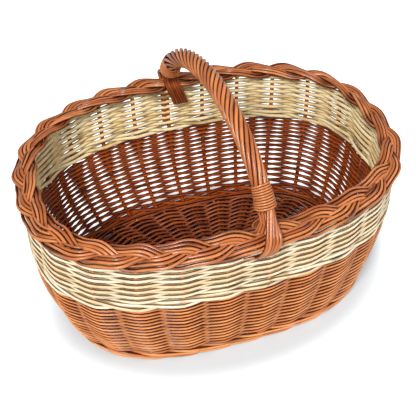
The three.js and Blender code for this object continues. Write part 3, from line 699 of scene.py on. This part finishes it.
def border():
    bundle = Bundle()
    u = np.linspace(0, STAKES, STAKES * PLAIT_POINTS + 1)
    turn = 2 * math.pi * u / STAKES
    level = np.array([0.0, 0.0, 1.0])
    away = outward_at(u, np.full(len(u), BORDER_HEIGHT))
    tilt = PLAIT_TILT - PLAIT_LEVELLING * away[:, 1].clip(0, 1) ** 2
    outward, up = rolled(away, np.broadcast_to(level, away.shape), -tilt)
    middle = on_wall(u, BORDER_HEIGHT, BORDER_OVERHANG + WALL_INSET)
    for which in range(3):
        beat = 2 * math.pi * (u + which + 0.5) / 3
        swing = np.sin(beat)
        lean = -np.arctan(2 * PLAIT_CROWN * swing / PLAIT_HALF_WIDTH) - PLAIT_ROLL * np.cos(beat) ** 3
        across, upwards = rolled(outward, up, lean)
        reach = (swing + PLAIT_FLATNESS * np.sin(3 * beat)) / (1 - PLAIT_FLATNESS)
        lift = -PLAIT_LIFT * np.sin(2 * beat) - PLAIT_CROWN * swing ** 2
        centre = middle + outward * (PLAIT_HALF_WIDTH * reach)[:, None] + up * lift[:, None]
        for rod in range(STRAND_RODS):
            place = (rod - (STRAND_RODS - 1) / 2) * (STRAND_WIDTH - STRAND_ROD) / (STRAND_RODS - 1)
            phase = dice.uniform(0, 6.28)
            stray = place * (1 + STRAND_FAN * np.cos(2 * beat))
            stray = stray + ROD_STRAY * np.sin(turn * STRAY_WAVES + phase)
            raised = ROD_RISE * np.sin(turn * RISE_WAVES + 2 * phase) - STRAND_ROUNDNESS * abs(place)
            girth = STRAND_ROD * (1 + ROD_SWELL * np.sin(turn * SWELL_WAVES + phase))
            # Edge rods' open sides turn outwards; the strand gets painted shade where it dips under the next
            # one
            edge_turn = place / STRAND_WIDTH * STRAND_EDGE_TURN
            facing = (upwards + across * edge_turn) / math.hypot(1, edge_turn)
            facing = facing * (1 - TUCKED_SHADE * np.sin(2 * beat).clip(0, 1))[:, None]
            points = centre + across * stray[:, None] + upwards * raised[:, None]
            bundle.rod(points, girth, facing, blunt=True)
    nodes = [f"border_strand_{i + 1}" for i in range(3)]
    woven_piece("border_plait", bundle, brown, nodes,
                sides=12, wander=0.0012, wander_length=0.04, unevenness=0.12)


def rolled(across, up, angle):
    """Two directions at right angles, turned together by an angle at each point."""
    c, s = np.cos(angle)[:, None], np.sin(angle)[:, None]
    return across * c + up * s, up * c - across * s


# Handle: a bow, its lapping, collars and tails

def handle_points(count=160):
    """The bow's middle line, from its front foot to its back foot."""
    foot_angle = math.asin((HANDLE_FOOT_RISE / HANDLE_RISE) ** (HANDLE_SQUARENESS / 2))
    angle = np.linspace(foot_angle, math.pi - foot_angle, count)
    c = np.cos(angle)
    y = -np.sign(c) * np.abs(c) ** (2 / HANDLE_SQUARENESS) * HANDLE_HALF_SPAN
    z = BORDER_HEIGHT + np.sin(angle) ** (2 / HANDLE_SQUARENESS) * HANDLE_RISE
    share = (y / HANDLE_HALF_SPAN + 1) / 2
    return np.stack([HANDLE_FRONT_SHIFT + (HANDLE_BACK_SHIFT - HANDLE_FRONT_SHIFT) * share, y, z], -1)


arch = handle_points()
arch_lengths = np.concatenate([[0], np.cumsum(np.linalg.norm(np.diff(arch, axis=0), axis=1))])
ARCH_LENGTH = arch_lengths[-1]


def along_arch(distance):
    return np.stack([np.interp(distance, arch_lengths, arch[:, i]) for i in range(3)], -1)


def leg_frame(distance, back):
    """Point, way up the leg, level side and inside of the arch, at a distance from its front or back foot."""
    at = ARCH_LENGTH - distance if back else distance
    sign = -1.0 if back else 1.0
    ahead = (along_arch(at + 0.5) - along_arch(at - 0.5)) * sign
    ahead = ahead / np.linalg.norm(ahead)
    side = np.array([sign, 0, 0]) - ahead * (ahead[0] * sign)
    side = side / np.linalg.norm(side)
    return along_arch(at), ahead, side, np.cross(ahead, side)


def beside_bow(distance, back, outer, turn, girth):
    """Middle of a rod that lies against the bow, turned round it from its outer or its inner side."""
    point, ahead, side, inward = leg_frame(distance, back)
    away = side * math.sin(turn) + inward * ((-1.0 if outer else 1.0) * math.cos(turn))
    return point + away * (BOW_GIRTH / 2 + girth / 2)


def bow_and_lapping():
    bow = Bundle()
    girths = np.linspace(BOW_FRONT_GIRTH, BOW_BACK_GIRTH, BOW_POINTS)
    bow.rod(along_arch(np.linspace(0, ARCH_LENGTH, BOW_POINTS)), girths, blunt=True)
    woven_piece("handle_core", bow, dark_brown, ["handle_bow"], sides=16, wander=0.0)
    lapped = np.linspace(LEG - LAPPING_TUCK, ARCH_LENGTH - LEG + LAPPING_TUCK, LAPPING_POINTS)
    wound_piece(
        "handle_lapping_rods", along_arch(lapped), brown, ["handle_lapping"], starts=LAPPING_RODS,
        turns=(ARCH_LENGTH - 2 * LEG) / LAPPING_TURN, quickening=LAPPING_QUICKENING, steps=110,
        radius=LAPPING_RADIUS * MM, flare=LAPPING_FLARE * MM, rod_radius=LAPPING_ROD / 2 * MM,
        sides=12, wander=0.0005, wander_length=0.03, unevenness=0.12)


def collar(foot):
    radius, flare = COLLAR_RADII_AND_FLARES[foot]
    distances = np.linspace(COLLAR_CLEARANCE, LEG, COLLAR_POINTS)
    leg = [leg_frame(distance, foot == "back")[0] for distance in distances]
    wound_piece(
        f"collar_rod_{foot}", leg, brown, [f"collar_{foot}"], starts=1, turns=float(COLLAR_TURNS),
        steps=COLLAR_TURNS * 32, radius=radius * MM, flare=flare * MM, rod_radius=COLLAR_ROD / 2 * MM,
        sides=10, wander=0.0004, wander_length=0.02, unevenness=0.08)


# Tails pass the border by points given as outwards and upwards. Their rods' spacing is a share of the girth.

OUTER_TAIL = dict(
    rods=5, spacing=0.96, end_girth=0.6,
    route=((12.2, 8.6), (16.4, -1.0), (16.4, -6.4), (14.6, -11.4), (11.6, -13.8), (9.0, -15.4)))
INNER_TAIL = dict(
    rods=6, spacing=0.88, end_girth=1.0,
    route=((-15.2, 8.5), (-16.6, 0.0), (-15.6, -8.0), (-13.6, -18.0), (-11.4, -30.0)))
TAIL_STOPS = (LEG - 2, LEG - 10, LEG - 18, COLLAR_CLEARANCE - 1)
TAIL_CLOSE, TAIL_SPREAD, TAIL_STEPS = 0.95, 0.08, 8
BOW_COVER_STOPS, BOW_COVER_DROP, BOW_COVER_LEAN = (LEG - 2, LEG - 12, 4.0, 0.5), 9, (2.0, -1.5)
BOW_COVER_TURNS, BOW_COVER_FACING = (-0.35, -0.85, -1.35, -1.85), (-0.6, -1.0, 0.5)


def tail(foot, side, finish, girth, drift, shift=0.0, bend=1.5, splay=(0.0, 0.0), curl=1.0, curl_shift=0.0):
    """Lapping rods, curled round the bow inside the collar and fanned out over one side of the border.

    They drift sideways in a bend. The last points are splayed by a length, and by a further one for each rod.
    """
    back, outer = foot == "back", side == "outer"
    shape = OUTER_TAIL if outer else INNER_TAIL
    rods, route = shape["rods"], shape["route"]
    sign = -1.0 if back else 1.0
    outwards, sideways = np.array([0, -sign, 0.0]), np.array([sign, 0, 0.0])
    border_spot = np.array([leg_frame(0, back)[0][0], -sign * BORDER_HALF_WIDTH, BORDER_HEIGHT])
    facing = towards(0, -sign if outer else sign, 0.5)
    bundle = Bundle()
    for rod in range(rods):
        place = (rod - (rods - 1) / 2) * girth * shape["spacing"]
        turn = place / (BOW_GIRTH / 2 + girth / 2) * curl + curl_shift
        points = [beside_bow(distance, back, outer, turn, girth) for distance in TAIL_STOPS]
        for i, (out, rise) in enumerate(route, 1):
            share = i / len(route)
            aside = shift - (splay[0] + splay[1] * (rods - 1 - rod)) * (i == len(route))
            aside = aside + drift * share ** bend + place * (TAIL_CLOSE + TAIL_SPREAD * share)
            points.append(border_spot + outwards * out + [0, 0, rise] + sideways * aside)
        path = smooth_path(points, TAIL_STEPS)
        tip = [0, len(path) - 1 - TAIL_STEPS, len(path) - 1]
        ends = np.interp(np.arange(len(path)), tip, [1.0, 1.0, shape["end_girth"]])
        bundle.rod(path, girth * ends, facing, blunt=True)
    if not back and not outer:
        cover_bow_foot(bundle, girth)
    woven_piece(f"{side}_tail_rods_{foot}", bundle, finish, [f"{side}_tail_{foot}"],
                sides=12, wander=0.0006, wander_length=0.03)


def cover_bow_foot(bundle, girth):
    """Rods laid down the bow's front foot, between its two tails."""
    _, ahead, side, _ = leg_frame(BOW_COVER_STOPS[-1], False)
    for turn in BOW_COVER_TURNS:
        points = [beside_bow(distance, False, True, turn, girth) for distance in BOW_COVER_STOPS]
        lean = BOW_COVER_LEAN[0] + BOW_COVER_LEAN[1] * turn
        points.append(points[-1] - ahead * BOW_COVER_DROP - side * lean)
        bundle.rod(smooth_path(points, TAIL_STEPS), girth, towards(*BOW_COVER_FACING), blunt=True)


def handle():
    bow_and_lapping()
    collar("front")
    tail("front", "outer", brown, girth=3.7, drift=-18.0, shift=1.5, bend=1.0, splay=(2.0, 1.2),
         curl=0.95, curl_shift=0.9)
    tail("front", "inner", brown, girth=3.7, drift=-6.0, shift=-2.5, curl=0.95, curl_shift=-1.6)
    collar("back")
    tail("back", "outer", brown, girth=4.3, drift=-9.5)
    tail("back", "inner", dark_brown, girth=3.7, drift=-13.5)


# Base: sticks and the rods woven round them

STICK_CUTS = ((-123, 101, 16), (-87, 108, 15), (-44, 112, 14), (-5, 113, 14), (35, 112, 14), (88, 105, 16))
CUT_GIRTH, CUT_TURN, CUT_REACH, CUT_RISE = 3.8, 0.985, 3.5, 2.5
BASE_ROD_POSTS, BASE_ROD_STEPS, BASE_ROD_OVERLAP, SHORTEST_BASE_ROD, BASE_ROD_SEAT = 31, 5, 4, 20, 0.4
SLATH_ROWS, SLATH_ROD, SLATH_SWING, SLATH_ROD_END = (-15.5, -11.0, -3.5, 3.5, 11.0, 15.5), 5.0, 3.6, 0.9
EDGE_RINGS = ((-1.5, 1.0), (1.5, -3.5), (3.0, 2.5), (0.0, -1.5))


def base_oval(wider=0.0):
    """The base's edge, inside the foot wale."""
    half_length, half_width, squareness = wall_oval(BASE_LEVEL)
    inset = STAKE_GIRTH / 2 + FOOT_WALE["girth"] + BASE_SEAT
    return half_length - inset + wider, half_width - inset + wider, squareness


angle_round_base = even_angles(base_oval())


def base_post(post):
    """Both ends of a post, a stick's half that the rods pass, counted round from the middle front."""
    edge = on_oval(base_oval(), angle_round_base(post / POSTS))[0]
    place = post % POSTS
    half_cross, half_long = (CROSS_STICKS - 1) / 2, (LONG_STICKS - 1) / 2
    side = 1 if int((place + half_cross) // (POSTS / 2)) % 2 == 0 else -1
    along = (place + half_cross) % (POSTS / 2)
    if along < CROSS_STICKS:
        start = np.array([(along - half_cross) * CROSS_PITCH, -SLATH_HALF_WIDTH])
    else:
        start = np.array([SLATH_HALF_LENGTH, (along - CROSS_STICKS - half_long) * LONG_PITCH])
    return start * side, edge


def base_sticks():
    bundle = Bundle()
    across = np.arange(CROSS_STICKS) - CROSS_STICKS // 2
    lengthwise = np.arange(LONG_STICKS) - LONG_STICKS // 2 + POSTS // 4
    for first, last in [(i, POSTS // 2 - i) for i in across] + [(-i, i) for i in lengthwise]:
        (start, start_edge), (end, end_edge) = base_post(first), base_post(last)
        points = [np.append(spot, BASE_LEVEL) for spot in (start_edge, start, end, end_edge)]
        bundle.rod(smooth_path(points, 12), STICK_GIRTH, blunt=True)
    nodes = [f"base_cross_stick_{i + 1}" for i in range(CROSS_STICKS)]
    nodes += [f"base_long_stick_{i + 1}" for i in range(LONG_STICKS)]
    woven_piece("base_sticks", bundle, dark_brown, nodes, sides=10, wander=0.0006)


def base_stick_ends():
    """Cut ends of sticks that stand out inside, at the back of the base."""
    bundle = Bundle()
    for x, y, z in STICK_CUTS:
        tip = (x * CUT_TURN, y - CUT_REACH, z + CUT_RISE)
        bundle.rod([(x, y, z), tip], CUT_GIRTH, (0, -1, 1), blunt=True)
    woven_piece("base_stick_ends", bundle, brown, [], seed=5.0, sides=9, wander=0.0)


def base_weave():
    bundle = Bundle()
    spiral_rods(bundle)
    for row, y in enumerate(SLATH_ROWS):
        x = (np.arange(-1, CROSS_STICKS + 1) - (CROSS_STICKS - 1) / 2) * CROSS_PITCH
        x[[0, -1]] *= SLATH_ROD_END
        z = BASE_LEVEL + np.where((np.arange(len(x)) + row) % 2 == 0, SLATH_SWING, -SLATH_SWING)
        bundle.rod(smooth_path(np.column_stack([x, np.full(len(x), y), z]), 6), SLATH_ROD)
    for wider, above in EDGE_RINGS:
        ring = on_oval(base_oval(wider), np.linspace(0, 2 * math.pi, RING_POINTS))[0]
        bundle.rod(np.column_stack([ring, np.full(len(ring), BASE_LEVEL + above)]), BASE_ROD, blunt=True)
    woven_piece("base_weave", bundle, dark_brown, ["base_rod_1", "base_rod_2"], sides=8, wander=0.001,
                unevenness=0.14)


def spiral_rods(bundle):
    """Two spirals of short rods, over one post and under the next."""
    posts = [base_post(i) for i in range(POSTS)]
    post_length = np.linalg.norm(posts[0][1] - posts[0][0])
    clear = (STICK_GIRTH + BASE_ROD) / 2
    for which in (0, 1):
        passes = int(((post_length - BASE_ROD) / BASE_PITCH - which) / 2 * POSTS)
        spots = []
        for i in range(passes + 1):
            start, edge = posts[i % POSTS]
            travel = BASE_ROD / 2 + BASE_ROD_SEAT + (which + 2 * i / POSTS) * BASE_PITCH
            spot = start + (edge - start) * (travel / post_length)
            spots.append([*spot, BASE_LEVEL + clear * (1 if (i + which) % 2 == 0 else -1)])
        path = smooth_path(spots, BASE_ROD_STEPS)
        length = BASE_ROD_POSTS * BASE_ROD_STEPS
        for first in range(0, len(path) - SHORTEST_BASE_ROD, length):
            last = min(first + length + BASE_ROD_OVERLAP, len(path))
            bundle.rod(path[first:last], BASE_ROD)


stakes()
siding("lower_siding", wall_brown, "lower_siding_rod", **LOWER_SIDING)
siding("upper_siding", peeled, "upper_siding_rod", **UPPER_SIDING)
wale("foot_wale", wall_brown, **FOOT_WALE)
wale("band_wale", peeled, **BAND_WALE)
border()
handle()
base_sticks()
base_stick_ends()
base_weave()


# Floor, light and camera. Painted shadow ovals and places of lamps are in metres.

FLOOR_HALF, FLOOR_COLOUR, FLOOR_ROUGHNESS = 6, (0.71, 0.76, 0.785, 1), 0.9
SHADOW_MIDDLE, SHADOW_SCALE, SHADOW_FROM, SHADOW_TO = (-0.012, 0.015, 0.0), (1.0, 1.5, 1.0), 0.21, 0.29
WORLD_LEVEL, LAMP_AIM = 0.39, (0, 0, 0.12)

CAMERA_AZIMUTH, CAMERA_ELEVATION, CAMERA_ROLL = math.radians(-18.71), math.radians(46.94), -0.003
CAMERA_DISTANCE, CAMERA_AIM_HEIGHT, SENSOR = 767.4, 110, 36.0
PICTURE_PIXELS, FOCAL_PIXELS, SHIFT_RIGHT_PIXELS, SHIFT_UP_PIXELS = 416, 600.0, 2.49, 6.86


def lay_floor():
    """Pale floor with a painted shadow oval, which keeps the basket's shadow, and white further away for the
    camera.
    """
    mesh = bpy.data.meshes.new("floor")
    corners = [(x * FLOOR_HALF, y * FLOOR_HALF, 0) for x, y in ((-1, -1), (1, -1), (1, 1), (-1, 1))]
    mesh.from_pydata(corners, [], [(0, 1, 2, 3)])
    floor = bpy.data.objects.new("floor", mesh)
    bpy.context.scene.collection.objects.link(floor)
    material = bpy.data.materials.new("floor")
    material.use_nodes = True
    shader = material.node_tree.nodes["Principled BSDF"].inputs
    shader["Base Color"].default_value = FLOOR_COLOUR
    shader["Roughness"].default_value = FLOOR_ROUGHNESS
    shader["Specular IOR Level"].default_value = 0.0
    shader["Emission Color"].default_value = (1, 1, 1, 1)
    t = Layout(material.node_tree)
    place = t.node("ShaderNodeTexCoord").outputs["Object"]
    place = t.node("ShaderNodeMapping", {"Vector": place, "Location": SHADOW_MIDDLE, "Scale": SHADOW_SCALE})
    distance = t.node("ShaderNodeVectorMath", {0: place}, operation="LENGTH").outputs["Value"]
    # Painted shadow: no emission in an oval round the basket, so the grey floor shows there
    away = t.ranged(distance, SHADOW_FROM, SHADOW_TO, smooth=True)
    seen = t.node("ShaderNodeLightPath").outputs["Is Camera Ray"]
    t.feed(shader["Emission Strength"], t.math("MULTIPLY", seen, away))
    mesh.materials.append(material)


def light_world():
    """Even light from all round, seen by the camera as white."""
    world = bpy.data.worlds.new("studio")
    bpy.context.scene.world = world
    world.use_nodes = True
    sky = world.node_tree.nodes["Background"].inputs
    t = Layout(world.node_tree)
    seen = t.node("ShaderNodeLightPath").outputs["Is Camera Ray"]
    level = t.node("ShaderNodeMix", {"A": WORLD_LEVEL, "B": 1.0, "Factor": seen}).outputs["Result"]
    t.feed(sky["Strength"], level)
    sky["Color"].default_value = (1, 1, 1, 1)


def lamp(name, place, size, power):
    light = bpy.data.lights.new(name, "AREA")
    light.shape, light.size, light.energy = "DISK", size, power
    lit = bpy.data.objects.new(name, light)
    bpy.context.scene.collection.objects.link(lit)
    lit.location = place
    lit.rotation_mode = "QUATERNION"
    lit.rotation_quaternion = (Vector(LAMP_AIM) - Vector(place)).to_track_quat("-Z", "Y")


def place_camera():
    east, north = math.sin(CAMERA_AZIMUTH), math.cos(CAMERA_AZIMUTH)
    level, high = math.cos(CAMERA_ELEVATION), math.sin(CAMERA_ELEVATION)
    back = np.array([east * level, -north * level, high])
    right = np.array([north, east, 0])
    up = np.cross(back, right)
    turned = math.cos(CAMERA_ROLL) * right + math.sin(CAMERA_ROLL) * up
    upright = math.cos(CAMERA_ROLL) * up - math.sin(CAMERA_ROLL) * right
    place = (back * CAMERA_DISTANCE + [0, 0, CAMERA_AIM_HEIGHT]) * MM
    view = bpy.data.cameras.new("camera")
    view.sensor_width, view.lens = SENSOR, FOCAL_PIXELS / PICTURE_PIXELS * SENSOR
    view.shift_x, view.shift_y = -SHIFT_RIGHT_PIXELS / PICTURE_PIXELS, SHIFT_UP_PIXELS / PICTURE_PIXELS
    view.clip_start, view.clip_end = 0.01, 50
    eye = bpy.data.objects.new("camera", view)
    bpy.context.scene.collection.objects.link(eye)
    eye.matrix_world = Matrix([*np.column_stack([turned, upright, back, place]).tolist(), [0, 0, 0, 1]])
    bpy.context.scene.camera = eye


lay_floor()
light_world()
lamp("key", (-0.9, -1.2, 1.9), size=0.6, power=46)
lamp("fill", (1.4, -0.9, 1.2), size=1.2, power=10)
place_camera()
bpy.context.scene.view_settings.view_transform = "Standard"

bpy.context.view_layer.update()
